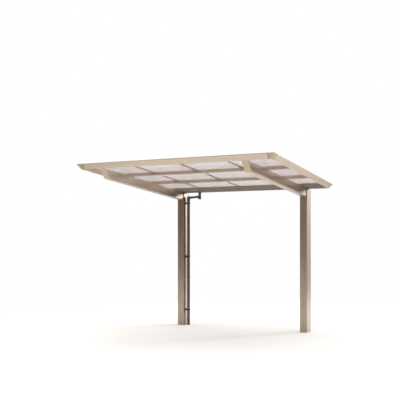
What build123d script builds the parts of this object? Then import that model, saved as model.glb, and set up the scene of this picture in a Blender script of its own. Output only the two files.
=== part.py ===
from build123d import *
from math import atan2, cos, degrees, radians, sin
import os

os.makedirs("parts", exist_ok=True)

# A cantilevered cycle carport. Two posts at the back carry two arms that reach forward
# under a single-pitch roof of clear sheets in an aluminium frame. The origin is the
# middle of the left post's foot, X runs along the front edge, Y to the back, Z up.

# Posts
post_pitch = 1690.0
post_width = 90.0
post_depth = 150.0
post_wall = 3.0
post_web = 4.0
post_edge_radius = 2.0
post_cap_thickness = 3.0
post_cap_skirt = 14.0
post_cap_wall = 4.5
post_cap_bevel = 1.2
post_gutter_gap = 2.6

# Arms
beam_width = 72.0
beam_height = 101.0
beam_wall = 2.8
beam_edge_radius = 1.5
beam_top_height = 1750.0
beam_nose_slant = 92.0
beam_nose_radius = 34.0
beam_nose_run = 22.0
beam_past_frame = 10.0
beam_cap_thickness = 3.0

# Brackets that hold the arms to the posts
bracket_width = 64.0
bracket_plate = 5.0
bracket_drop = 94.0
bracket_corner_bevel = 3.0
bracket_stub = 160.0
bracket_stub_wall = 6.0
bracket_bolt_hole = 11.0
bracket_bolt_pitch = 45.0

# Roof frame
roof_pitch = 5.0
roof_length = 2240.0
frame_height = 54.0
frame_flare = 50.0
frame_foot = 12.0
frame_wall = 2.2
frame_lip_height = 5.0
frame_lip_width = 4.0
frame_flange = 12.0
frame_slot_depth = 8.0
groove_width = 3.0
groove_depth = 1.0
groove_low = 17.5
groove_pitch = 17.0
groove_count = 2
front_reach = 1773.0
rear_reach = 84.0
corner_reach = 18.0
corner_neck = 7.0
corner_neck_inset = 1.6
rear_corner_reach = 44.0

# Purlins and glazing bars
purlin_height = 35.0
purlin_width = 38.0
purlin_wall = 2.0
purlin_front_at = 1232.0
purlin_rear_at = 650.0
bay_count = 4
rafter_width = 22.0
rafter_height = 10.0
rafter_wall = 1.8
rafter_rib = 6.0
cap_strip_width = 30.0
cap_strip_height = 5.0
cap_strip_wall = 1.6

# Roof sheets
sheet_thickness = 3.0
sheet_edge_gap = 3.0
sheet_overhang = 42.0

# Gutter
gutter_front_at = 50.0
gutter_rail_width = 30.0
gutter_wall = 2.2

# Rainwater pipe
pipe_radius = 19.0
pipe_wall = 2.5
pipe_post_gap = 16.0
elbow_below_arms = 73.0
elbow_below_boss = 18.5
elbow_shoulder = 9.0
branch_radius = 15.0
branch_wall = 2.0
branch_fall = 9.0
outlet_radius = 18.0
outlet_wall = 2.0
outlet_from_post = 201.0
outlet_setback = 70.0
outlet_flange_radius = 27.0
outlet_flange_thickness = 3.0
outlet_below_boss = 13.0
outlet_cap_height = 9.0
socket_wall = 2.2
boss_length = 14.0
pipe_clearance = 0.3

# Clamps of the downpipe
clamp_height = 20.0
clamp_thickness = 2.5
clamp_stem = 12.0
clamp_foot_width = 34.0
clamp_foot_height = 30.0
clamp_foot_bevel = 3.0
clamp_count = 3
clamp_lowest = 200.0
clamp_below_elbow = 36.0

fit_gap = 0.5

# Places worked out from the sizes
post_front = -post_depth / 2
pitch_angle = radians(roof_pitch)
roof_middle = post_pitch / 2
roof_left = roof_middle - roof_length / 2
roof_right = roof_middle + roof_length / 2
sheet_seat = purlin_height + rafter_height
sheet_top = sheet_seat + sheet_thickness
bay_width = roof_length / bay_count
mid_plane = Plane.YZ.offset(roof_middle)
deck = Plane(
    origin=(0, post_front, beam_top_height),
    x_dir=(1, 0, 0),
    z_dir=(0, sin(pitch_angle), cos(pitch_angle)),
)
beam_foot_height = beam_top_height - beam_height / cos(pitch_angle)


def deck_point(x, along, up=0.0):
    """A point of the roof: x across, along down the slope from the posts, up from the arms."""
    return deck.from_local_coords(Vector(x, along, up))


def section_across(x):
    """The plane for a profile that runs across the roof: local x down the slope, y up."""
    return Plane(origin=deck_point(x, 0), x_dir=deck.y_dir, z_dir=deck.x_dir)


def section_along(along):
    """The plane for a profile that runs up the slope: local x across the roof, y up."""
    return Plane(origin=deck_point(0, along), x_dir=deck.x_dir, z_dir=-deck.y_dir)


def edge_plane(x, along, outward):
    """The plane for an edge profile: local x points out of the roof, y up."""
    return Plane(origin=deck_point(x, along), x_dir=outward, z_dir=outward.cross(deck.z_dir))


def mitre_plane(x, along, towards):
    """The upright plane through a corner that a mitre is cut on."""
    return Plane(origin=deck_point(x, along), x_dir=deck.z_dir, z_dir=towards)


def finish(part, name):
    """Labels a finished piece and writes it."""
    part.label = name
    export_step(part, f"parts/{name}.step")


# Frame profile: a wedge whose outer face leans out as it rises, with a slot for the sheets
slot_top = sheet_top + fit_gap
flange_top = slot_top + frame_wall
face_height = frame_height - frame_lip_height
face_run = frame_flare - frame_foot
face_length = (face_run**2 + face_height**2) ** 0.5
face_lean = degrees(atan2(face_run, face_height))


def face_at(up, inset=0.0):
    """How far out the sloping face is at a height, less a wall."""
    return frame_foot + face_run * up / face_height - inset * face_length / face_height


def frame_outline():
    """The wedge with its sheet slot and its grooves."""
    with BuildSketch(Plane.XY) as outline:
        with BuildLine():
            Polyline(
                (0, 0),
                (frame_foot, 0),
                (frame_flare, face_height),
                (frame_flare, frame_height),
                (frame_flare - frame_lip_width, frame_height),
                (frame_flare - frame_lip_width, flange_top),
                (-frame_flange, flange_top),
                (-frame_flange, slot_top),
                (frame_slot_depth, slot_top),
                (frame_slot_depth, sheet_seat),
                (0, sheet_seat),
                close=True,
            )
        make_face()
        for number in range(groove_count):
            groove_up = groove_low + number * groove_pitch
            with Locations((face_at(groove_up), groove_up)):
                Rectangle(groove_depth * 2, groove_width, rotation=-face_lean, mode=Mode.SUBTRACT)
    return outline.sketch


def frame_chamber():
    """The hollow inside the wedge."""
    chamber_top = sheet_seat - frame_wall
    with BuildSketch(Plane.XY) as chamber:
        with BuildLine():
            Polyline(
                (frame_wall, frame_wall),
                (face_at(frame_wall, frame_wall), frame_wall),
                (face_at(chamber_top, frame_wall), chamber_top),
                (frame_wall, chamber_top),
                close=True,
            )
        make_face()
    return chamber.sketch


wedge = frame_outline()
wedge_neck = offset(wedge, amount=-corner_neck_inset)
chamber = frame_chamber()

# Posts: rectangular extrusions with a web across the middle, open at the foot, that stop
# under the gutter's floor
gutter_low = deck_point(0, rear_reach + frame_foot).Z
post_height = gutter_low - post_gutter_gap - post_cap_thickness
cell_depth = (post_depth - 2 * post_wall - post_web) / 2
cell_offset = (cell_depth + post_web) / 2
cell_width = post_width - 2 * post_wall
skirt_depth = cell_depth - 2 * fit_gap
skirt_width = cell_width - 2 * fit_gap
for side, post_x in (("left", 0.0), ("right", post_pitch)):
    with BuildPart() as post:
        with BuildSketch(Plane.XY):
            with Locations((post_x, 0)):
                RectangleRounded(post_width, post_depth, post_edge_radius)
            with Locations((post_x, cell_offset), (post_x, -cell_offset)):
                Rectangle(cell_width, cell_depth, mode=Mode.SUBTRACT)
        extrude(amount=post_height)
    finish(post.part, f"post_{side}")

    with BuildPart() as post_cap:
        with BuildSketch(Plane.XY.offset(post_height)) as lid:
            with Locations((post_x, 0)):
                Rectangle(post_width, post_depth)
            chamfer(lid.vertices(), post_edge_radius)
        extrude(amount=post_cap_thickness)
        chamfer(post_cap.edges().group_by(Axis.Z)[-1], post_cap_bevel)
        with BuildSketch(Plane.XY.offset(post_height)):
            with Locations((post_x, cell_offset), (post_x, -cell_offset)):
                Rectangle(skirt_width, skirt_depth)
                Rectangle(
                    skirt_width - 2 * post_cap_wall,
                    skirt_depth - 2 * post_cap_wall,
                    mode=Mode.SUBTRACT,
                )
        extrude(amount=-post_cap_skirt)
    finish(post_cap.part, f"post_cap_{side}")

# Arms: box extrusions that stop against the brackets and end in a raked, rounded nose
beam_end = -(front_reach + beam_past_frame)
beam_root = beam_width
beam_start = post_front - bracket_plate
chin_start = beam_end + beam_nose_slant
nose_points = ((beam_end, 0), (chin_start, -beam_height), (chin_start + beam_nose_run, -beam_height))
post_face_plane = Plane(origin=(0, beam_start, 0), x_dir=(1, 0, 0), z_dir=(0, -1, 0))
for side, arm_x in (("left", 0.0), ("right", post_pitch)):
    with BuildPart() as blank:
        with BuildSketch(section_across(arm_x)):
            with BuildLine():
                FilletPolyline(*nose_points, radius=beam_nose_radius)
                Polyline(nose_points[-1], (beam_root, -beam_height), (beam_root, 0), nose_points[0])
            make_face()
        extrude(amount=beam_width / 2, both=True)
        split(bisect_by=post_face_plane, keep=Keep.TOP)
        long_edges = blank.edges().filter_by(Axis((0, 0, 0), deck.y_dir))
        fillet(long_edges.group_by(SortBy.LENGTH)[-1], beam_edge_radius)

    with BuildPart() as nose_band:
        with BuildSketch(section_across(arm_x)):
            with BuildLine():
                FilletPolyline(*nose_points, radius=beam_nose_radius)
                offset(amount=beam_cap_thickness, side=Side.LEFT)
            make_face()
        extrude(amount=beam_width, both=True)

    with BuildPart() as beam:
        add(blank.part)
        with BuildSketch(section_along(beam_root)):
            with Locations((arm_x, -beam_height / 2)):
                Rectangle(beam_width - 2 * beam_wall, beam_height - 2 * beam_wall)
        extrude(amount=beam_root - beam_end, mode=Mode.SUBTRACT)
        add(nose_band.part, mode=Mode.SUBTRACT)
    finish(beam.part, f"beam_{side}")

    with BuildPart() as beam_nose:
        add(nose_band.part)
        add(blank.part, mode=Mode.INTERSECT)
    finish(beam_nose.part, f"beam_nose_{side}")

# Brackets: a plate bolted to the post's face with a channel stub that fills the arm's end
stub_height = beam_height - 2 * beam_wall
bracket_low = beam_foot_height - bracket_drop
bracket_high = beam_top_height - beam_wall * 2
for side, arm_x in (("left", 0.0), ("right", post_pitch)):
    with BuildPart() as bracket:
        with BuildSketch(section_along(beam_root)):
            with Locations((arm_x, -beam_height / 2)):
                Rectangle(bracket_width, stub_height)
                Rectangle(
                    bracket_width - 2 * bracket_stub_wall,
                    stub_height - 2 * bracket_stub_wall,
                    mode=Mode.SUBTRACT,
                )
        extrude(amount=beam_root + bracket_stub)
        split(bisect_by=post_face_plane, keep=Keep.TOP)
        with BuildSketch(Plane.XZ.offset(-post_front)) as plate:
            with Locations((arm_x, (bracket_low + bracket_high) / 2)):
                Rectangle(bracket_width, bracket_high - bracket_low)
            chamfer(plate.vertices(), bracket_corner_bevel)
        extrude(amount=bracket_plate)
        bolts_at = bracket_low + bracket_drop / 2
        with BuildSketch(Plane.XZ.offset(-post_front)):
            with Locations(
                (arm_x, bolts_at + bracket_bolt_pitch / 2),
                (arm_x, bolts_at - bracket_bolt_pitch / 2),
            ):
                Circle(bracket_bolt_hole / 2)
        extrude(amount=bracket_plate, mode=Mode.SUBTRACT)
    finish(bracket.part, f"beam_bracket_{side}")

# Front and side frame members, square cut against the corner pieces
front_start = roof_right - corner_reach - corner_neck
front_length = roof_length - 2 * (corner_reach + corner_neck)
with BuildPart() as front_frame:
    with BuildSketch(edge_plane(front_start, -front_reach, -deck.y_dir)):
        add(wedge)
        add(chamber, mode=Mode.SUBTRACT)
    extrude(amount=front_length)
finish(front_frame.part, "front_frame")

side_front = -(front_reach - corner_reach - corner_neck)
side_rear = rear_reach - rear_corner_reach
with BuildPart() as side_frame_right:
    with BuildSketch(edge_plane(roof_right, side_rear, deck.x_dir)):
        add(wedge)
        add(chamber, mode=Mode.SUBTRACT)
    extrude(amount=side_rear - side_front)
finish(side_frame_right.part, "side_frame_right")

with BuildPart() as side_frame_left:
    mirror(side_frame_right.part, about=mid_plane)
finish(side_frame_left.part, "side_frame_left")

# Front corner pieces: moulded wedges mitred into one, each with a recessed neck at its joints
front_mitre = mitre_plane(roof_right, -front_reach, deck.x_dir + deck.y_dir)
with BuildPart() as corner_front_leg:
    with BuildSketch(edge_plane(roof_right - corner_reach, -front_reach, -deck.y_dir)):
        add(wedge)
    extrude(amount=-(corner_reach + frame_flare))
    with BuildSketch(edge_plane(roof_right - corner_reach, -front_reach, -deck.y_dir)):
        add(wedge_neck)
    extrude(amount=corner_neck)
    split(bisect_by=front_mitre, keep=Keep.BOTTOM)

with BuildPart() as corner_side_leg:
    with BuildSketch(edge_plane(roof_right, corner_reach - front_reach, deck.x_dir)):
        add(wedge)
    extrude(amount=corner_reach + frame_flare)
    with BuildSketch(edge_plane(roof_right, corner_reach - front_reach, deck.x_dir)):
        add(wedge_neck)
    extrude(amount=-corner_neck)
    split(bisect_by=front_mitre, keep=Keep.TOP)

with BuildPart() as corner_front_right:
    add(corner_front_leg.part)
    add(corner_side_leg.part)
finish(corner_front_right.part, "corner_front_right")

with BuildPart() as corner_front_left:
    mirror(corner_front_right.part, about=mid_plane)
finish(corner_front_left.part, "corner_front_left")

# Gutter: one extrusion with a box rail in front, a floor and a leaning outer face
floor_front = gutter_rail_width - gutter_front_at
rear_foot = rear_reach + frame_foot
rear_tip = rear_reach + frame_flare
lip_inner = rear_tip - frame_flange
lean_wall = gutter_wall * face_length / face_height
with BuildSketch(Plane.XY) as gutter_outline:
    with BuildLine():
        Polyline(
            (-gutter_front_at, 0),
            (rear_foot, 0),
            (rear_tip, face_height),
            (rear_tip, frame_height),
            (lip_inner, frame_height),
            (lip_inner, frame_height - gutter_wall),
            (rear_tip - lean_wall, frame_height - gutter_wall),
            (rear_tip - lean_wall, face_height),
            (rear_reach + face_at(gutter_wall, gutter_wall), gutter_wall),
            (floor_front, gutter_wall),
            (floor_front, sheet_seat),
            (-gutter_front_at, sheet_seat),
            close=True,
        )
    make_face()

with BuildPart() as gutter:
    with BuildSketch(section_across(roof_left + gutter_wall)):
        add(gutter_outline.sketch)
        with Locations((gutter_rail_width / 2 - gutter_front_at, sheet_seat / 2)):
            Rectangle(
                gutter_rail_width - 2 * gutter_wall,
                sheet_seat - 2 * gutter_wall,
                mode=Mode.SUBTRACT,
            )
    extrude(amount=roof_length - 2 * gutter_wall)
    with BuildSketch(Plane.XY.offset(beam_foot_height)):
        with Locations((post_width / 2 + outlet_from_post, post_front + outlet_setback)):
            Circle(outlet_radius - outlet_wall)
    extrude(amount=beam_height, mode=Mode.SUBTRACT)
finish(gutter.part, "gutter")

# Rear corner pieces: the side wedge turned into the gutter's face, with a plate that
# closes the gutter's end
rear_mitre = mitre_plane(roof_right, rear_reach, deck.x_dir - deck.y_dir)
with BuildPart() as corner_rear_side:
    with BuildSketch(edge_plane(roof_right, side_rear + corner_neck, deck.x_dir)):
        add(wedge)
    extrude(amount=-(rear_tip - side_rear))
    with BuildSketch(edge_plane(roof_right, side_rear + corner_neck, deck.x_dir)):
        add(wedge_neck)
    extrude(amount=corner_neck)
    split(bisect_by=rear_mitre, keep=Keep.TOP)

with BuildPart() as corner_rear_leg:
    with BuildSketch(edge_plane(roof_right, rear_reach, deck.y_dir)):
        add(wedge)
    extrude(amount=frame_flare)
    split(bisect_by=rear_mitre, keep=Keep.BOTTOM)

with BuildPart() as corner_rear_right:
    add(corner_rear_side.part)
    add(corner_rear_leg.part)
    with BuildSketch(section_across(roof_right - gutter_wall)):
        with BuildLine():
            Polyline(
                (-gutter_front_at, 0),
                (rear_foot, 0),
                (rear_tip, face_height),
                (rear_tip, frame_height),
                (lip_inner, frame_height),
                (side_rear + corner_neck, sheet_seat),
                (-gutter_front_at, sheet_seat),
                close=True,
            )
        make_face()
    extrude(amount=gutter_wall)
finish(corner_rear_right.part, "corner_rear_right")

with BuildPart() as corner_rear_left:
    mirror(corner_rear_right.part, about=mid_plane)
finish(corner_rear_left.part, "corner_rear_left")

# Purlins: box sections that lie on the arms and run from side frame to side frame
for name, purlin_at in (("front", purlin_front_at), ("rear", purlin_rear_at)):
    with BuildPart() as purlin:
        with BuildSketch(section_across(roof_left)):
            with Locations((-purlin_at, purlin_height / 2)):
                Rectangle(purlin_width, purlin_height)
                Rectangle(
                    purlin_width - 2 * purlin_wall,
                    purlin_height - 2 * purlin_wall,
                    mode=Mode.SUBTRACT,
                )
        extrude(amount=roof_length)
    finish(purlin.part, f"purlin_{name}")

# Glazing bars: a hollow bar under each joint of the sheets, with a clamping strip above
rafter_length = front_reach - gutter_front_at
strip_front = -(front_reach - frame_flange - fit_gap)
strip_rear = sheet_overhang + floor_front
for number in range(1, bay_count):
    bar_x = roof_left + number * bay_width
    with BuildPart() as rafter:
        with BuildSketch(section_along(-gutter_front_at)):
            with Locations((bar_x, purlin_height + rafter_height / 2)):
                Rectangle(rafter_width, rafter_height)
                Rectangle(
                    rafter_width - 2 * rafter_wall,
                    rafter_height - 2 * rafter_wall,
                    mode=Mode.SUBTRACT,
                )
            with Locations((bar_x, sheet_seat + sheet_thickness / 2)):
                Rectangle(rafter_rib, sheet_thickness)
        extrude(amount=rafter_length)
    finish(rafter.part, f"glazing_bar_{number}")

    with BuildPart() as cap_strip:
        with BuildSketch(section_along(strip_rear)):
            with BuildLine():
                Polyline(
                    (bar_x - cap_strip_width / 2, sheet_top),
                    (bar_x + cap_strip_width / 2, sheet_top),
                    (bar_x + cap_strip_width / 2, sheet_top + cap_strip_wall),
                    (bar_x + cap_strip_width / 4, sheet_top + cap_strip_height),
                    (bar_x - cap_strip_width / 4, sheet_top + cap_strip_height),
                    (bar_x - cap_strip_width / 2, sheet_top + cap_strip_wall),
                    close=True,
                )
            make_face()
        extrude(amount=strip_rear - strip_front)
    finish(cap_strip.part, f"cap_strip_{number}")

# Roof sheets: one per bay, from the front frame's slot to over the gutter
rib_clear = rafter_rib / 2 + sheet_edge_gap / 2
slot_reach = frame_slot_depth - sheet_edge_gap
for number in range(bay_count):
    sheet_left = roof_left + number * bay_width + (rib_clear if number else -slot_reach)
    last = number == bay_count - 1
    sheet_right = roof_left + (number + 1) * bay_width + (slot_reach if last else -rib_clear)
    sheet_front = -(front_reach + slot_reach)
    with BuildPart() as sheet:
        with BuildSketch(deck.offset(sheet_seat)):
            with Locations(((sheet_left + sheet_right) / 2, (sheet_front + strip_rear) / 2)):
                Rectangle(sheet_right - sheet_left, strip_rear - sheet_front)
        extrude(amount=sheet_thickness)
    finish(sheet.part, f"roof_sheet_{number + 1}")

# Rainwater pipe: an outlet under the gutter, a branch that falls to an elbow with a sloping
# shoulder at the left post, and a downpipe
pipe_x = post_width / 2 + pipe_post_gap + pipe_radius
pipe_y = post_front + outlet_setback
outlet_x = post_width / 2 + outlet_from_post
outlet_along = outlet_setback / cos(pitch_angle)
elbow_height = beam_top_height - elbow_below_arms
inlet_height = elbow_height + branch_fall
socket_radius = pipe_radius + pipe_clearance + socket_wall
cap_radius = outlet_radius + pipe_clearance + socket_wall
boss_radius = branch_radius + pipe_clearance + socket_wall
boss_reach = socket_radius + boss_length
outlet_low = inlet_height - boss_radius - outlet_below_boss
pipe_top = elbow_height - boss_radius
elbow_low = pipe_top - elbow_below_boss
elbow_high = elbow_height + boss_radius + socket_wall
branch_line = Vector(outlet_x - pipe_x, 0, branch_fall)
elbow_plane = Plane(origin=(pipe_x, pipe_y, elbow_height), x_dir=(0, 1, 0), z_dir=branch_line)
inlet_plane = Plane(origin=(outlet_x, pipe_y, inlet_height), x_dir=(0, 1, 0), z_dir=-branch_line)
with BuildPart() as outlet:
    with BuildSketch(Plane.XY.offset(outlet_low)):
        with Locations((outlet_x, pipe_y)):
            Circle(outlet_radius)
    extrude(amount=beam_top_height - outlet_low)
    split(bisect_by=deck, keep=Keep.BOTTOM)
    with BuildSketch(deck.offset(-outlet_flange_thickness)):
        with Locations((outlet_x, outlet_along)):
            Circle(outlet_flange_radius)
    extrude(amount=outlet_flange_thickness)
    with BuildSketch(inlet_plane):
        Circle(boss_radius)
    extrude(amount=boss_reach)
    with BuildSketch(Plane.XY.offset(outlet_low)):
        with Locations((outlet_x, pipe_y)):
            Circle(outlet_radius - outlet_wall)
    extrude(amount=beam_top_height - outlet_low, mode=Mode.SUBTRACT)
    with BuildSketch(inlet_plane):
        Circle(branch_radius + pipe_clearance)
    extrude(amount=boss_reach, mode=Mode.SUBTRACT)
finish(outlet.part, "gutter_outlet")

with BuildPart() as outlet_cap:
    with BuildSketch(Plane.XY.offset(outlet_low - socket_wall)):
        with Locations((outlet_x, pipe_y)):
            Circle(cap_radius)
    extrude(amount=outlet_cap_height)
    with BuildSketch(Plane.XY.offset(outlet_low)):
        with Locations((outlet_x, pipe_y)):
            Circle(outlet_radius + pipe_clearance)
    extrude(amount=outlet_cap_height, mode=Mode.SUBTRACT)
finish(outlet_cap.part, "outlet_cap")

with BuildPart() as branch_pipe:
    with BuildSketch(elbow_plane.offset(socket_radius)):
        Circle(branch_radius)
        Circle(branch_radius - branch_wall, mode=Mode.SUBTRACT)
    extrude(amount=branch_line.length - 2 * socket_radius)
finish(branch_pipe.part, "branch_pipe")

with BuildPart() as elbow:
    with BuildSketch(Plane.XY.offset(elbow_low)):
        with Locations((pipe_x, pipe_y)):
            Circle(socket_radius)
    extrude(amount=elbow_high - elbow_low)
    chamfer(elbow.edges().group_by(Axis.Z)[-1], elbow_shoulder)
    with BuildSketch(elbow_plane):
        Circle(boss_radius)
    extrude(amount=boss_reach)
    with BuildSketch(Plane.XY.offset(elbow_low)):
        with Locations((pipe_x, pipe_y)):
            Circle(pipe_radius + pipe_clearance)
    extrude(amount=pipe_top - elbow_low, mode=Mode.SUBTRACT)
    with BuildSketch(Plane.XY.offset(pipe_top)):
        with Locations((pipe_x, pipe_y)):
            Circle(pipe_radius - pipe_wall)
    extrude(amount=elbow_high - elbow_shoulder - pipe_top, mode=Mode.SUBTRACT)
    with BuildSketch(elbow_plane):
        Circle(branch_radius + pipe_clearance)
    extrude(amount=boss_reach, mode=Mode.SUBTRACT)
finish(elbow.part, "downpipe_head")

with BuildPart() as downpipe:
    with BuildSketch(Plane.XY):
        with Locations((pipe_x, pipe_y)):
            Circle(pipe_radius)
            Circle(pipe_radius - pipe_wall, mode=Mode.SUBTRACT)
    extrude(amount=pipe_top)
finish(downpipe.part, "downpipe")

# Pipe clamps: a band round the downpipe on a stem and a foot screwed to the post
band_inner = pipe_radius + pipe_clearance
band_outer = band_inner + clamp_thickness
post_side = post_width / 2
clamp_pitch = (elbow_low - clamp_below_elbow - clamp_lowest) / (clamp_count - 1)
for number in range(clamp_count):
    clamp_at = clamp_lowest + number * clamp_pitch
    with BuildPart() as clamp:
        with BuildSketch(Plane.XY.offset(clamp_at - clamp_height / 2)):
            with Locations((pipe_x, pipe_y)):
                Circle(band_outer)
            with Locations(((post_side + pipe_x) / 2, pipe_y)):
                Rectangle(pipe_x - post_side, clamp_stem)
            with Locations((pipe_x, pipe_y)):
                Circle(band_inner, mode=Mode.SUBTRACT)
        extrude(amount=clamp_height)
        with BuildSketch(Plane.YZ.offset(post_side)) as foot:
            with Locations((pipe_y, clamp_at)):
                Rectangle(clamp_foot_width, clamp_foot_height)
            chamfer(foot.vertices(), clamp_foot_bevel)
        extrude(amount=clamp_thickness)
    finish(clamp.part, f"pipe_clamp_{number + 1}")
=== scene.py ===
from math import cos, pi, radians

import bmesh
import bpy
from mathutils import Matrix, Vector


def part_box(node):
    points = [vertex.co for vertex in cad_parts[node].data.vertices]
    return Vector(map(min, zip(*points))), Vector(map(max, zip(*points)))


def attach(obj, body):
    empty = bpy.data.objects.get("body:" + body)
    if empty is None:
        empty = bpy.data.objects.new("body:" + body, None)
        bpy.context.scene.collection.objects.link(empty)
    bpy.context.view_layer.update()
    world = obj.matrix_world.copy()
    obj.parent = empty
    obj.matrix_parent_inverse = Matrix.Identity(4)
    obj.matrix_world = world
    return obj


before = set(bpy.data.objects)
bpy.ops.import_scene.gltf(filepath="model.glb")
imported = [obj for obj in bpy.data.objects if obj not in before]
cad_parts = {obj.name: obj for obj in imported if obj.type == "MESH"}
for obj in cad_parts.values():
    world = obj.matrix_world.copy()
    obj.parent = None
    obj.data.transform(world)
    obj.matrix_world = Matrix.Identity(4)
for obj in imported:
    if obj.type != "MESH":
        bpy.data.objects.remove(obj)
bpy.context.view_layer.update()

# Posts: two rectangular aluminium extrusions that stand in footings and carry all the rest.
# They are pressed through a die, etched and anodised in champagne. That gives the eye a satin
# skin with faint lines along the length, corners rubbed pale, and a little soil on the foot.
champagne = "CEC0B0"
champagne_deep = "C4B6A5"
rubbed_edge = "DCD4C6"
dust_tan = "A89D8B"
painted_shade_brown = "5C5244"
soil_height = 0.18
# The real die lines lie half a millimetre apart, too fine to show, and are drawn 6 mm apart.
die_line_pitch = 0.006
die_line_length = 100
cloud_size = 0.40
dust_patch = 0.035
edge_rub = 0.0016
edge_worn = 0.8
top_dust = 0.7
satin_roughness = (0.32, 0.42)
die_line_relief = 0.15
die_line_depth = 0.0003
# Painted shade: faces that look down or forward, as under the roof, are mixed towards a dull dark
# brown.
shaded_side = (0, -0.64, -0.77)
# A Mix node set to colours has its share and its two colours on these inputs, and its result
# on this output.
mix_share, mix_first, mix_second = 0, 6, 7
mix_result = 2


def linear(hex_colour):
    """An sRGB hex colour as the linear RGBA that a shader socket takes."""
    channels = [int(hex_colour[i : i + 2], 16) / 255 for i in (0, 2, 4)]
    return [c / 12.92 if c <= 0.04045 else ((c + 0.055) / 1.055) ** 2.4 for c in channels] + [1.0]


def add_node(tree, kind, settings=None, links=None):
    """Adds a node, sets its properties and unlinked sockets, and links the rest."""
    node = tree.nodes.new(kind)
    for key, value in (settings or {}).items():
        if isinstance(key, str) and hasattr(node, key):
            setattr(node, key, value)
        else:
            node.inputs[key].default_value = value
    for key, source in (links or {}).items():
        tree.links.new(source, node.inputs[key])
    return node


def new_material(name):
    """An empty material, and the tree its nodes go into."""
    material = bpy.data.materials.new(name)
    material.use_nodes = True
    material.node_tree.nodes.clear()
    return material, material.node_tree


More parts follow.
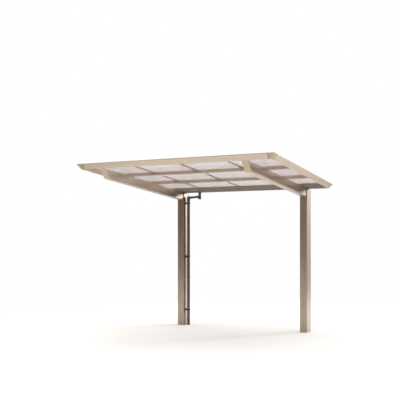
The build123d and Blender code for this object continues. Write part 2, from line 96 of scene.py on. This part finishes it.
def anodised_extrusion(name, stretch, lean=0.0, soil=0.0, painted_shade=0.0):
    """Champagne anodised aluminium, with die lines along the axis that stretch draws out."""
    material, tree = new_material(name)
    place = add_node(tree, "ShaderNodeTexCoord").outputs["Object"]
    surface = add_node(tree, "ShaderNodeNewGeometry").outputs["Normal"]
    lined = add_node(
        tree,
        "ShaderNodeMapping",
        {"vector_type": "TEXTURE", "Rotation": (lean, 0, 0), "Scale": stretch},
        {"Vector": place},
    )
    lines = add_node(
        tree,
        "ShaderNodeTexNoise",
        {"Scale": 1 / die_line_pitch, "Detail": 3.0, "Roughness": 0.6},
        {"Vector": lined.outputs["Vector"]},
    ).outputs["Fac"]
    clouds = add_node(
        tree, "ShaderNodeTexNoise", {"Scale": 1 / cloud_size, "Detail": 4.0}, {"Vector": place}
    ).outputs["Fac"]
    patches = add_node(
        tree,
        "ShaderNodeTexNoise",
        {"Scale": 1 / dust_patch, "Detail": 5.0, "Roughness": 0.65},
        {"Vector": place},
    ).outputs["Fac"]
    tint = add_node(
        tree,
        "ShaderNodeMix",
        {
            "data_type": "RGBA",
            mix_first: linear(champagne),
            mix_second: linear(champagne_deep),
        },
        {mix_share: clouds},
    )
    rounded = add_node(tree, "ShaderNodeBevel", {"samples": 4, "Radius": edge_rub})
    turn = add_node(
        tree,
        "ShaderNodeVectorMath",
        {"operation": "DOT_PRODUCT"},
        {0: surface, 1: rounded.outputs["Normal"]},
    )
    rubbed = add_node(
        tree,
        "ShaderNodeMapRange",
        {"From Min": 0.995, "From Max": 0.86, "To Min": 0.0, "To Max": edge_worn},
        {"Value": turn.outputs["Value"]},
    )
    edged = add_node(
        tree,
        "ShaderNodeMix",
        {"data_type": "RGBA", mix_second: linear(rubbed_edge)},
        {mix_share: rubbed.outputs["Result"], mix_first: tint.outputs[mix_result]},
    )
    facing = add_node(tree, "ShaderNodeSeparateXYZ", None, {"Vector": surface})
    settled = add_node(
        tree,
        "ShaderNodeMapRange",
        {"From Min": 0.6, "From Max": 1.0, "To Min": 0.0, "To Max": top_dust},
        {"Value": facing.outputs["Z"]},
    )
    height = add_node(tree, "ShaderNodeSeparateXYZ", None, {"Vector": place})
    splashed = add_node(
        tree,
        "ShaderNodeMapRange",
        {"From Min": 0.0, "From Max": soil_height, "To Min": soil, "To Max": 0.0},
        {"Value": height.outputs["Z"]},
    )
    lying = add_node(
        tree,
        "ShaderNodeMath",
        {"operation": "MAXIMUM"},
        {0: settled.outputs["Result"], 1: splashed.outputs["Result"]},
    )
    powder = add_node(
        tree,
        "ShaderNodeMath",
        {"operation": "MULTIPLY"},
        {0: lying.outputs["Value"], 1: patches},
    )
    dusted = add_node(
        tree,
        "ShaderNodeMix",
        {"data_type": "RGBA", mix_second: linear(dust_tan)},
        {mix_share: powder.outputs["Value"], mix_first: edged.outputs[mix_result]},
    )
    # Painted shade: the share of dark brown grows as a face turns down and forward, up to the
    # painted shade strength.
    shade_facing = add_node(
        tree,
        "ShaderNodeVectorMath",
        {"operation": "DOT_PRODUCT", 1: shaded_side},
        {0: surface},
    )
    shade_share = add_node(
        tree,
        "ShaderNodeMapRange",
        {"From Min": 0.4, "From Max": 0.7, "To Min": 0.0, "To Max": painted_shade},
        {"Value": shade_facing.outputs["Value"]},
    )
    colour = add_node(
        tree,
        "ShaderNodeMix",
        {"data_type": "RGBA", mix_second: linear(painted_shade_brown)},
        {mix_share: shade_share.outputs["Result"], mix_first: dusted.outputs[mix_result]},
    )
    # Real dust and the painted shade both dull the gloss and take away the metal.
    dust_and_shade = add_node(
        tree,
        "ShaderNodeMath",
        {"operation": "MAXIMUM"},
        {0: powder.outputs["Value"], 1: shade_share.outputs["Result"]},
    ).outputs["Value"]
    satin = add_node(
        tree,
        "ShaderNodeMapRange",
        {
            "From Min": 0.3,
            "From Max": 0.7,
            "To Min": satin_roughness[0],
            "To Max": satin_roughness[1],
        },
        {"Value": lines},
    )
    gloss = add_node(
        tree,
        "ShaderNodeMath",
        {"operation": "MULTIPLY_ADD", 1: 0.5},
        {0: dust_and_shade, 2: satin.outputs["Result"]},
    )
    bare = add_node(tree, "ShaderNodeMath", {"operation": "SUBTRACT", 0: 1.0}, {1: dust_and_shade})
    relief = add_node(
        tree,
        "ShaderNodeBump",
        {"Strength": die_line_relief, "Distance": die_line_depth},
        {"Height": lines},
    )
    skin = add_node(
        tree,
        "ShaderNodeBsdfPrincipled",
        None,
        {
            "Base Color": colour.outputs[mix_result],
            "Metallic": bare.outputs["Value"],
            "Roughness": gloss.outputs["Value"],
            "Normal": relief.outputs["Normal"],
        },
    )
    add_node(tree, "ShaderNodeOutputMaterial", None, {"Surface": skin.outputs["BSDF"]})
    return material


def dress(names, material):
    """Gives nodes of the frame their finish."""
    for name in names:
        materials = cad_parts[name].data.materials
        materials.clear()
        materials.append(material)


upright = anodised_extrusion("anodised_aluminium_upright", (1, 1, die_line_length), soil=0.9)
dress(["post_left", "post_right"], upright)

# Post caps: covers of moulded ASA plastic, painted in the frame's metallic champagne and pushed
# into the posts' open tops under the gutter. The mould is spark eroded, so under the paint they
# have a fine even grain, and they shine without the metal's depth.
trim_tan = "CEBFA9"
trim_shade = "C4B49D"
# Half a millimetre of mould grain is drawn at 3 mm, or it would not show.
mould_grain = 0.003
grain_depth = 0.0004


def grained_skin(name, light, deep, grain, satin, relief, stretch=(1, 1, 1), shader=None):
    """A skin of two clouded colours, whose grain shows in its gloss and relief."""
    material, tree = new_material(name)
    place = add_node(tree, "ShaderNodeTexCoord").outputs["Object"]
    clouds = add_node(
        tree, "ShaderNodeTexNoise", {"Scale": 1 / cloud_size, "Detail": 4.0}, {"Vector": place}
    )
    drawn = add_node(
        tree,
        "ShaderNodeMapping",
        {"vector_type": "TEXTURE", "Scale": stretch},
        {"Vector": place},
    )
    grains = add_node(
        tree,
        "ShaderNodeTexNoise",
        {"Scale": 1 / grain, "Detail": 3.0, "Roughness": 0.6},
        {"Vector": drawn.outputs["Vector"]},
    )
    share = add_node(
        tree,
        "ShaderNodeMath",
        {"operation": "MULTIPLY_ADD", 1: 0.5},
        {0: grains.outputs["Fac"], 2: clouds.outputs["Fac"]},
    )
    tint = add_node(
        tree,
        "ShaderNodeMapRange",
        {"From Min": 0.45, "From Max": 1.05},
        {"Value": share.outputs["Value"]},
    )
    colour = add_node(
        tree,
        "ShaderNodeMix",
        {"data_type": "RGBA", mix_first: linear(light), mix_second: linear(deep)},
        {mix_share: tint.outputs["Result"]},
    )
    gloss = add_node(
        tree,
        "ShaderNodeMapRange",
        {"From Min": 0.3, "From Max": 0.7, "To Min": satin[0], "To Max": satin[1]},
        {"Value": grains.outputs["Fac"]},
    )
    bump = add_node(
        tree,
        "ShaderNodeBump",
        {"Strength": relief, "Distance": grain_depth},
        {"Height": grains.outputs["Fac"]},
    )
    skin = add_node(
        tree,
        "ShaderNodeBsdfPrincipled",
        shader,
        {
            "Base Color": colour.outputs[mix_result],
            "Roughness": gloss.outputs["Result"],
            "Normal": bump.outputs["Normal"],
        },
    )
    add_node(tree, "ShaderNodeOutputMaterial", None, {"Surface": skin.outputs["BSDF"]})
    return material


moulded_trim = grained_skin(
    "asa_moulded_painted",
    trim_tan,
    trim_shade,
    mould_grain,
    satin=(0.42, 0.55),
    relief=0.25,
    shader={"Metallic": 0.5},
)
dress(["post_cap_left", "post_cap_right"], moulded_trim)

# Brackets and their bolts: each bracket is an aluminium plate with a stub inside the arm, and
# takes two M10 hexagon bolts on washers through the post's front wall. The bolts are cold
# headed in stainless steel, which leaves them bright, with a fine grain and a grey bloom.
bracket_plate = 0.005
bracket_drop = 0.094
bolt_pitch = 0.045
bolt_flats = 0.017
bolt_head = 0.0064
bolt_washer = (0.010, 0.002)
head_bevel = 0.0008
weld_distance = 1e-6
stainless = "C6C4BF"
stainless_bloom = "A3A19C"
# The real grain is a tenth of a millimetre, and is drawn at 1.5 mm.
steel_grain = 0.0015


def place_piece(name, shape, material, sharp=35):
    """Makes a finished shape a named piece that rides with the frame."""
    mesh = bpy.data.meshes.new(name)
    shape.to_mesh(mesh)
    shape.free()
    mesh.materials.append(material)
    mesh.shade_smooth()
    mesh.set_sharp_from_angle(angle=radians(sharp))
    piece = bpy.data.objects.new(name, mesh)
    bpy.context.scene.collection.objects.link(piece)
    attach(piece, "root")


def set_out(pattern, places):
    """One shape with the pattern at every place. The pattern is used up."""
    row = bmesh.new()
    mesh = bpy.data.meshes.new("pattern")
    for place in places:
        copy = pattern.copy()
        copy.transform(place)
        copy.to_mesh(mesh)
        copy.free()
        row.from_mesh(mesh)
    pattern.free()
    bpy.data.meshes.remove(mesh)
    return row


def turned(section, closed=False, steps=24):
    """A round shape turned about Z from its half section, given as (radius, height)."""
    shape = bmesh.new()
    corners = [shape.verts.new((radius, 0, height)) for radius, height in section]
    following = corners[1:] + corners[:1] if closed else corners[1:]
    edges = [shape.edges.new(pair) for pair in zip(corners, following)]
    bmesh.ops.spin(
        shape,
        geom=corners + edges,
        axis=(0, 0, 1),
        cent=(0, 0, 0),
        angle=2 * pi,
        steps=steps,
        use_merge=True,
    )
    bmesh.ops.remove_doubles(shape, verts=shape.verts, dist=weld_distance)
    bmesh.ops.recalc_face_normals(shape, faces=shape.faces)
    return shape


def hexagon_bolt(flats, head, washer):
    """A bolt's hexagon head on its washer, both standing on Z = 0."""
    radius, thickness = washer
    shape = turned([(0, 0), (radius, 0), (radius, thickness), (0, thickness)])
    corners = bmesh.ops.create_circle(
        shape,
        cap_ends=True,
        segments=6,
        radius=flats / 2 / cos(pi / 6),
        matrix=Matrix.Translation((0, 0, thickness)),
    )["verts"]
    raised = bmesh.ops.extrude_face_region(
        shape, geom=list(corners[0].link_faces), use_keep_orig=True
    )["geom"]
    top = [part for part in raised if isinstance(part, bmesh.types.BMVert)]
    bmesh.ops.translate(shape, verts=top, vec=(0, 0, head))
    bmesh.ops.bevel(
        shape,
        geom=[part for part in raised if isinstance(part, bmesh.types.BMEdge)],
        offset=head_bevel * flats / bolt_flats,
        affect="EDGES",
        segments=1,
        profile=0.5,
        material=-1,
    )
    bmesh.ops.recalc_face_normals(shape, faces=shape.faces)
    return shape


steel = grained_skin(
    "stainless_steel_cold_headed",
    stainless,
    stainless_bloom,
    steel_grain,
    satin=(0.22, 0.40),
    relief=0.2,
    shader={"Metallic": 1.0},
)
dress(["beam_bracket_left", "beam_bracket_right"], upright)
for side in ("left", "right"):
    post_low, post_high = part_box(f"post_{side}")
    bracket_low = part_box(f"beam_bracket_{side}")[0]
    post_x = (post_low[0] + post_high[0]) / 2
    bolts_at = bracket_low[2] + bracket_drop / 2
    places = [
        Matrix.Translation((post_x, post_low[1] - bracket_plate, bolts_at + up))
        @ Matrix.Rotation(radians(90), 4, "X")
        for up in (bolt_pitch / 2, -bolt_pitch / 2)
    ]
    bolts = set_out(hexagon_bolt(bolt_flats, bolt_head, bolt_washer), places)
    place_piece(f"bracket_bolts_{side}", bolts, steel)

# Arms: two box extrusions that reach forward from the brackets and rise with the roof. They
# are finished like the posts, with the die lines up the slope, and two small hexagon screws
# in the top of each, hidden from below, hold it on its bracket's stub.
roof_pitch = radians(5)
sloping = anodised_extrusion(
    "anodised_aluminium_sloping", (1, die_line_length, 1), lean=-roof_pitch
)
dress(["beam_left", "beam_right"], sloping)
arm_screw_places = (0.075, 0.135)
arm_screw_flats = 0.010
arm_screw_head = 0.0045
arm_screw_washer = (0.007, 0.0012)

# The roof's own frame: X across, Y down the slope, Z up from the tops of the arms.
nose_low, nose_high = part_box("beam_nose_left")
slope = Matrix.Translation((0, nose_low[1], nose_high[2])) @ Matrix.Rotation(-roof_pitch, 4, "X")


def roof_box(name):
    """A node's lowest and highest corners in the roof's own frame."""
    points = [slope.inverted() @ vertex.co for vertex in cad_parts[name].data.vertices]
    return [Vector([end(p[axis] for p in points) for axis in range(3)]) for end in (min, max)]


for side in ("left", "right"):
    arm_low, arm_high = roof_box(f"beam_{side}")
    places = [
        slope @ Matrix.Translation(((arm_low.x + arm_high.x) / 2, arm_high.y - back, arm_high.z))
        for back in arm_screw_places
    ]
    screws = set_out(hexagon_bolt(arm_screw_flats, arm_screw_head, arm_screw_washer), places)
    place_piece(f"arm_screws_{side}", screws, steel)

# Nose covers: thin rounded covers that close the raked fronts of the arms. They are cast in
# aluminium and powder coated to match, so they have no die lines but a faint orange peel and
# a soft shine.
nose_tan = "C3B69F"
nose_shade = "BBAE97"
# Orange peel has waves of about 2 mm, drawn at 5 mm so that they show.
orange_peel = 0.005
coated = grained_skin(
    "cast_aluminium_powder_coated",
    nose_tan,
    nose_shade,
    orange_peel,
    satin=(0.34, 0.42),
    relief=0.2,
    shader={"Metallic": 0.7},
)
dress(["beam_nose_left", "beam_nose_right"], coated)

# Roof frame: flared wedge extrusions along the front and the sides, cut square and joined by
# painted corner mouldings. A black strip in the rubber finish, cut to the wedge's outline, fills
# the recess of each joint as painted shade and shows as a thin dark line.
crossways = anodised_extrusion("anodised_aluminium_crossways", (die_line_length, 1, 1))
dress(["front_frame"], crossways)
dress(["side_frame_left", "side_frame_right"], sloping)
corner_pieces = [f"corner_{end}_{side}" for end in ("front", "rear") for side in ("left", "right")]
dress(corner_pieces, moulded_trim)
joint_width = 0.007
joint_strip_inset = 0.0005
rubber = "26241F"
rubber_worn = "353229"
# The bloom on rubber is finer than this. It is drawn at 2 mm so that it shows.
rubber_grain = 0.002
epdm = grained_skin(
    "epdm_extruded",
    rubber,
    rubber_worn,
    rubber_grain,
    satin=(0.55, 0.8),
    relief=0.2,
    shader={"IOR": 1.5},
)
foot = 0.012
flare = 0.050
frame_height = 0.054
lip_width = 0.004
lip_height = 0.005
sheet_seat = 0.045
slot_top = 0.0485
flange_top = 0.0507
slot_depth = 0.008
flange = 0.012
wedge = [
    (0, 0),
    (foot, 0),
    (flare, frame_height - lip_height),
    (flare, frame_height),
    (flare - lip_width, frame_height),
    (flare - lip_width, flange_top),
    (-flange, flange_top),
    (-flange, slot_top),
    (slot_depth, slot_top),
    (slot_depth, sheet_seat),
    (0, sheet_seat),
]


def extruded(section, length, inset=0.0):
    """A straight bar along +Y from its section, given as (across, up)."""
    shape = bmesh.new()
    face = shape.faces.new([shape.verts.new((across, 0, up)) for across, up in section])
    if inset:
        rim = bmesh.ops.inset_region(shape, faces=[face], thickness=inset, use_even_offset=True)
        bmesh.ops.delete(shape, geom=rim["faces"], context="FACES")
        face = next(iter(shape.faces))
    far = bmesh.ops.extrude_face_region(shape, geom=[face], use_keep_orig=True)["geom"]
    ends = [part for part in far if isinstance(part, bmesh.types.BMVert)]
    bmesh.ops.translate(shape, verts=ends, vec=(0, length, 0))
    bmesh.ops.recalc_face_normals(shape, faces=shape.faces)
    return shape


def half_turn(axis):
    """A turn of 180 degrees about an axis."""
    return Matrix.Rotation(pi, 4, axis)


quarter_turn = Matrix.Rotation(pi / 2, 4, "Z")
front_low, front_high = roof_box("front_frame")
left_low, left_high = roof_box("side_frame_left")
right_low, right_high = roof_box("side_frame_right")
front_line = front_low.y + flare
left_line = left_low.x + flare
right_line = right_high.x - flare
joint_places = [
    Matrix.Translation((x, front_line, 0)) @ quarter_turn.inverted()
    for x in (front_low.x - joint_width, front_high.x)
]
for y in (right_low.y - joint_width, right_high.y):
    joint_places.append(Matrix.Translation((right_line, y, 0)))
    joint_places.append(Matrix.Translation((left_line, y + joint_width, 0)) @ half_turn("Z"))
# Painted shade: black strips fill the recess of each joint, where its shadow falls.
joint_shade_strips = set_out(
    extruded(wedge, joint_width, inset=joint_strip_inset), [slope @ place for place in joint_places]
)
place_piece("frame_joint_shade_strips", joint_shade_strips, epdm)

# Gutter: one extrusion along the back that is both rail and channel. It is anodised with the rest,
# and its die lines run across. Its front and its underside are darkened to a dull brown as painted
# shade.
gutter_skin = anodised_extrusion(
    "anodised_aluminium_gutter", (die_line_length, 1, 1), painted_shade=0.9
)
dress(["gutter"], gutter_skin)

# Purlins: two box extrusions that lie across the arms, from side frame to side frame, cut
# from the same champagne bar stock.
dress(["purlin_front", "purlin_rear"], crossways)

# Glazing bars: slim hollow extrusions under the joints of the sheets, with the die lines up
# the slope.
dress([f"glazing_bar_{number}" for number in (1, 2, 3)], sloping)

# Roof sheets: four sheets of extruded clear polycarbonate, 3 mm thick. Years outdoors give
# the eye a milky haze, with faint rain streaks of fine dust that run down the slope, and the
# sheets lie not quite flat.
sheet_clear = "F7F2F1"
sheet_dusty = "EFE7E2"
sheet_milk = "F1ECEE"
streak_width = 0.030
streak_length = 14
haze_size = 0.5
dust_from = 0.15
dust_full = 0.4
# Both are under 0.27, because the render shows hard white marks where the gloss crosses it.
sheet_roughness = (0.19, 0.26)
sheet_ior = 1.58
sheet_transmission = 0.8
milk_share = (0.32, 0.42)
swell_relief = 0.1
swell_height = 0.004
sheet_material, tree = new_material("polycarbonate_extruded_sheet")
place = add_node(tree, "ShaderNodeTexCoord").outputs["Object"]
downhill = add_node(
    tree,
    "ShaderNodeMapping",
    {"vector_type": "TEXTURE", "Rotation": (-roof_pitch, 0, 0), "Scale": (1, streak_length, 1)},
    {"Vector": place},
)
streaks = add_node(
    tree,
    "ShaderNodeTexNoise",
    {"Scale": 1 / streak_width, "Detail": 4.0, "Roughness": 0.6},
    {"Vector": downhill.outputs["Vector"]},
)
haze = add_node(
    tree, "ShaderNodeTexNoise", {"Scale": 1 / haze_size, "Detail": 3.0}, {"Vector": place}
)
dirt = add_node(
    tree,
    "ShaderNodeMath",
    {"operation": "MULTIPLY"},
    {0: streaks.outputs["Fac"], 1: haze.outputs["Fac"]},
)
dulled = add_node(
    tree,
    "ShaderNodeMapRange",
    {"From Min": dust_from, "From Max": dust_full},
    {"Value": dirt.outputs["Value"]},
)
colour = add_node(
    tree,
    "ShaderNodeMix",
    {
        "data_type": "RGBA",
        mix_first: linear(sheet_clear),
        mix_second: linear(sheet_dusty),
    },
    {mix_share: dulled.outputs["Result"]},
)
gloss = add_node(
    tree,
    "ShaderNodeMapRange",
    {"To Min": sheet_roughness[0], "To Max": sheet_roughness[1]},
    {"Value": dulled.outputs["Result"]},
)
swell = add_node(
    tree, "ShaderNodeTexNoise", {"Scale": 1 / haze_size, "Detail": 0.0}, {"Vector": place}
)
ripple = add_node(
    tree,
    "ShaderNodeBump",
    {"Strength": swell_relief, "Distance": swell_height},
    {"Height": swell.outputs["Fac"]},
)
skin = add_node(
    tree,
    "ShaderNodeBsdfPrincipled",
    {"IOR": sheet_ior, "Transmission Weight": sheet_transmission},
    {
        "Base Color": colour.outputs[mix_result],
        "Roughness": gloss.outputs["Result"],
        "Normal": ripple.outputs["Normal"],
    },
)
milk = add_node(tree, "ShaderNodeBsdfTranslucent", {"Color": linear(sheet_milk)})
milky = add_node(
    tree,
    "ShaderNodeMapRange",
    {"To Min": milk_share[0], "To Max": milk_share[1]},
    {"Value": dulled.outputs["Result"]},
)
sheet = add_node(
    tree,
    "ShaderNodeMixShader",
    None,
    {0: milky.outputs["Result"], 1: skin.outputs["BSDF"], 2: milk.outputs["BSDF"]},
)
add_node(tree, "ShaderNodeOutputMaterial", None, {"Surface": sheet.outputs["Shader"]})
dress([f"roof_sheet_{number}" for number in (1, 2, 3, 4)], sheet_material)

# Cap strips: shallow extrusions screwed down over the joints of the sheets. Black EPDM lips
# show along both edges, and hexagon screws on steel and rubber washers hold the strips.
cap_strips = [f"cap_strip_{number}" for number in (1, 2, 3)]
dress(cap_strips, sloping)
lip = [(0, 0), (0.0024, 0), (0.0016, 0.0009), (0, 0.0014)]
screw_flats = 0.008
screw_head = 0.004
screw_washer = (0.0055, 0.001)
screw_rubber = (0.006, 0.0012)
screw_count = 7
screw_from_end = 0.045
strip_boxes = [roof_box(name) for name in cap_strips]
strip_length = strip_boxes[0][1].y - strip_boxes[0][0].y
lip_places = []
screw_places = []
for strip_low, strip_high in strip_boxes:
    lip_places.append(Matrix.Translation((strip_high.x, strip_low.y, strip_low.z)))
    lip_places.append(
        Matrix.Translation((strip_low.x, strip_high.y, strip_low.z)) @ half_turn("Z")
    )
    screw_step = (strip_length - 2 * screw_from_end) / (screw_count - 1)
    for number in range(screw_count):
        down = strip_low.y + screw_from_end + number * screw_step
        middle = (strip_low.x + strip_high.x) / 2
        screw_places.append(slope @ Matrix.Translation((middle, down, strip_high.z)))
lips = set_out(extruded(lip, strip_length), [slope @ place for place in lip_places])
place_piece("cap_strip_lips", lips, epdm)
radius, thickness = screw_rubber
washers = set_out(
    turned([(0, 0), (radius, 0), (radius, thickness), (0, thickness)]), screw_places
)
place_piece("cap_strip_washers", washers, epdm)
on_rubber = Matrix.Translation((0, 0, thickness))
screws = set_out(
    hexagon_bolt(screw_flats, screw_head, screw_washer),
    [place @ on_rubber for place in screw_places],
)
place_piece("cap_strip_screws", screws, steel)

# Glazing gaskets: EPDM beads pressed in between the sheets and what they lie on, above and
# below along the frame and below along the glazing bars. They show as fine black lines.
bars = [roof_box(f"glazing_bar_{number}") for number in (1, 2, 3)]
sheet_top = strip_boxes[0][0].z
side_length = right_high.y - right_low.y
side_places = [
    Matrix.Translation((left_high.x, left_low.y, sheet_top)),
    Matrix.Translation((right_low.x, right_high.y, sheet_top)) @ half_turn("Z"),
    Matrix.Translation((left_line, left_high.y, sheet_seat)) @ half_turn("X"),
    Matrix.Translation((right_line, right_low.y, sheet_seat)) @ half_turn("Y"),
]
side_beads = set_out(extruded(lip, side_length), [slope @ place for place in side_places])
place_piece("side_frame_gaskets", side_beads, epdm)
front_places = [
    Matrix.Translation((front_high.x, front_high.y, sheet_top)) @ quarter_turn,
    Matrix.Translation((front_low.x, front_line, sheet_seat)) @ half_turn("Y") @ quarter_turn,
]
front_beads = set_out(
    extruded(lip, front_high.x - front_low.x), [slope @ place for place in front_places]
)
place_piece("front_frame_gaskets", front_beads, epdm)
bar_places = []
for bar_low, bar_high in bars:
    bar_places.append(Matrix.Translation((bar_low.x, bar_low.y, sheet_seat)) @ half_turn("Y"))
    bar_places.append(Matrix.Translation((bar_high.x, bar_high.y, sheet_seat)) @ half_turn("X"))
bar_beads = set_out(
    extruded(lip, bars[0][1].y - bars[0][0].y), [slope @ place for place in bar_places]
)
place_piece("glazing_bar_gaskets", bar_beads, epdm)

# Rainwater pipe: an outlet under the gutter, a branch, an elbow and a downpipe in brown PVC-U,
# pushed together on EPDM rings. It is extruded and moulded with a smooth skin, so it shows
# long soft highlights and hardly any grain.
pipe_brown = "574C42"
pipe_faded = "655A4F"
# The extruder's lines are drawn 4 mm apart round the pipe, ten times coarser than they are.
draw_line = 0.004
draw_line_length = 30
pipe_skin = grained_skin(
    "pvc_u_extruded",
    pipe_brown,
    pipe_faded,
    draw_line,
    satin=(0.26, 0.36),
    relief=0.1,
    stretch=(1, 1, draw_line_length),
    shader={"IOR": 1.54},
)
rainwater_nodes = ["gutter_outlet", "outlet_cap", "branch_pipe", "downpipe_head", "downpipe"]
dress(rainwater_nodes, pipe_skin)
pipe_radius = 0.019
branch_radius = 0.015
branch_fall = 0.009
boss_reach = 0.0355
ring_width = 0.0018
ring_height = 0.0014
ring_steps = 32


def sealing_ring(radius):
    """The lip of a rubber ring round a pipe, lying on Z = 0."""
    outer = radius + ring_width
    middle = (radius + outer) / 2
    section = [
        (radius, 0),
        (outer, 0),
        (outer, ring_height / 2),
        (middle, ring_height),
        (radius, ring_height),
    ]
    return turned(section, closed=True, steps=ring_steps)


pipe_low, pipe_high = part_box("downpipe")
head_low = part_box("downpipe_head")[0]
cap_low, cap_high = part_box("outlet_cap")
branch_low, branch_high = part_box("branch_pipe")
pipe_axis = (Vector(pipe_low) + Vector(pipe_high)) / 2
cap_axis = (Vector(cap_low) + Vector(cap_high)) / 2
branch_middle = (Vector(branch_low) + Vector(branch_high)) / 2
branch_run = Vector((cap_axis.x - pipe_axis.x, 0, branch_fall))
mouth_reach = branch_run.length / 2 - boss_reach
mouths = [
    Matrix.Translation(branch_middle - run.normalized() * mouth_reach)
    @ run.to_track_quat("Z", "Y").to_matrix().to_4x4()
    for run in (branch_run, -branch_run)
]
place_piece("branch_rings", set_out(sealing_ring(branch_radius), mouths), epdm)
below_head = Matrix.Translation((pipe_axis.x, pipe_axis.y, head_low[2])) @ half_turn("X")
downpipe_ring = set_out(sealing_ring(pipe_radius), [below_head])
place_piece("downpipe_ring", downpipe_ring, epdm)

# Pipe clamps: moulded polyamide bands on a stem and a foot, each held to the post by two
# stainless pan-head screws. The plastic is darker and duller than the pipe, with mould grain.
clamp_dark = "3B342D"
clamp_worn = "474038"
clamp_skin = grained_skin(
    "polyamide_moulded",
    clamp_dark,
    clamp_worn,
    mould_grain,
    satin=(0.42, 0.58),
    relief=0.3,
    shader={"IOR": 1.53},
)
clamps = [f"pipe_clamp_{number}" for number in (1, 2, 3)]
dress(clamps, clamp_skin)
foot_thickness = 0.0025
clamp_screw_side = 0.0115
pan_head = [(0, 0), (0.0034, 0), (0.0034, 0.0010), (0.0026, 0.0020), (0.0010, 0.0023), (0, 0.0023)]
places = []
for name in clamps:
    clamp_low, clamp_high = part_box(name)
    clamp_middle = (clamp_low[2] + clamp_high[2]) / 2
    for side in (-clamp_screw_side, clamp_screw_side):
        screw_at = (clamp_low[0] + foot_thickness, pipe_axis.y + side, clamp_middle)
        places.append(Matrix.Translation(screw_at) @ Matrix.Rotation(radians(90), 4, "Y"))
place_piece("clamp_screws", set_out(turned(pan_head), places), steel)

# Studio floor: a plain pale disc under the carport, wide enough to catch its shadow. It is
# rolled with matt paint, so that it has only a faint bloom and the roller's stipple.
floor_pale = "F4F4F3"
floor_bloom = "F1F1EF"
floor_radius = 5.4
floor_sides = 96
floor_middle = (2.4, -0.4, 0)
roller_stipple = 0.02
shape = bmesh.new()
bmesh.ops.create_circle(
    shape,
    cap_ends=True,
    segments=floor_sides,
    radius=floor_radius,
    matrix=Matrix.Translation(floor_middle),
)
floor_mesh = bpy.data.meshes.new("floor")
shape.to_mesh(floor_mesh)
shape.free()
floor_paint = grained_skin(
    "matt_floor_paint", floor_pale, floor_bloom, roller_stipple, satin=(0.85, 0.95), relief=0.02
)
floor_mesh.materials.append(floor_paint)
floor = bpy.data.objects.new("floor", floor_mesh)
bpy.context.scene.collection.objects.link(floor)

# Studio light: a large soft source overhead and a smaller one behind on the left, a dim warm
# room in front, and a low key light from behind on the right. The backdrop is white, seen
# directly or through the sheets.
overhead = ((0, 0, 1), 0.25, 2.0)
behind = ((-0.45, 0.89, 0), 0.6, 0.3)
room_tint = (1, 0.77, 0.54, 1)
room_strength = 0.125
key_strength = 1.25
key_angle = 16
key_from = (0.60, 0.80, 0.25)
world = bpy.data.worlds.new("studio")
bpy.context.scene.world = world
world.use_nodes = True
tree = world.node_tree
tree.nodes.clear()
way = add_node(tree, "ShaderNodeTexCoord").outputs["Generated"]
glows = []
for direction, edge, strength in (overhead, behind):
    nearness = add_node(
        tree,
        "ShaderNodeVectorMath",
        {"operation": "DOT_PRODUCT", 1: Vector(direction).normalized()},
        {0: way},
    )
    glow = add_node(
        tree,
        "ShaderNodeMapRange",
        {"interpolation_type": "SMOOTHSTEP", "From Min": edge, "From Max": 1, "To Max": strength},
        {"Value": nearness.outputs["Value"]},
    )
    glows.append(glow.outputs["Result"])
both = add_node(tree, "ShaderNodeMath", {"operation": "ADD"}, {0: glows[0], 1: glows[1]})
lamps = add_node(
    tree, "ShaderNodeBackground", {"Color": (1, 1, 1, 1)}, {"Strength": both.outputs["Value"]}
)
room = add_node(tree, "ShaderNodeBackground", {"Color": room_tint, "Strength": room_strength})
studio = add_node(tree, "ShaderNodeAddShader", None, {0: lamps.outputs[0], 1: room.outputs[0]})
backdrop = add_node(tree, "ShaderNodeBackground", {"Color": (1, 1, 1, 1), "Strength": 1.0})
ray = add_node(tree, "ShaderNodeLightPath")
seen = add_node(
    tree,
    "ShaderNodeMath",
    {"operation": "MAXIMUM"},
    {0: ray.outputs["Is Camera Ray"], 1: ray.outputs["Is Transmission Ray"]},
)
shown = add_node(
    tree,
    "ShaderNodeMixShader",
    None,
    {0: seen.outputs["Value"], 1: studio.outputs[0], 2: backdrop.outputs[0]},
)
add_node(tree, "ShaderNodeOutputWorld", None, {"Surface": shown.outputs[0]})
key_data = bpy.data.lights.new("key", "SUN")
key_data.energy = key_strength
key_data.angle = radians(key_angle)
# Off, so that the key light isn't focused through the sheets onto the arms.
key_data.cycles.use_multiple_importance_sampling = False
key = bpy.data.objects.new("key", key_data)
key.rotation_euler = Vector(key_from).to_track_quat("Z", "Y").to_euler()
bpy.context.scene.collection.objects.link(key)

# Camera: level at 1.1 m, to the right of the carport and in front, as in the photograph, with
# a small shift that sets the horizon where the photograph has it.
photo_side = 400
focal_pixels = 704.4
horizon_row = 239.63
film_width = 36
camera_place = (4.4547, -8.2294, 1.124)
camera_turn = 27.08
camera_data = bpy.data.cameras.new("camera")
camera_data.sensor_width = film_width
camera_data.lens = focal_pixels / photo_side * camera_data.sensor_width
camera_data.shift_y = (horizon_row - photo_side / 2) / photo_side
camera = bpy.data.objects.new("camera", camera_data)
camera.location = camera_place
camera.rotation_euler = (radians(90), 0, radians(camera_turn))
bpy.context.scene.collection.objects.link(camera)
bpy.context.scene.camera = camera
bpy.context.scene.view_settings.view_transform = "Standard"
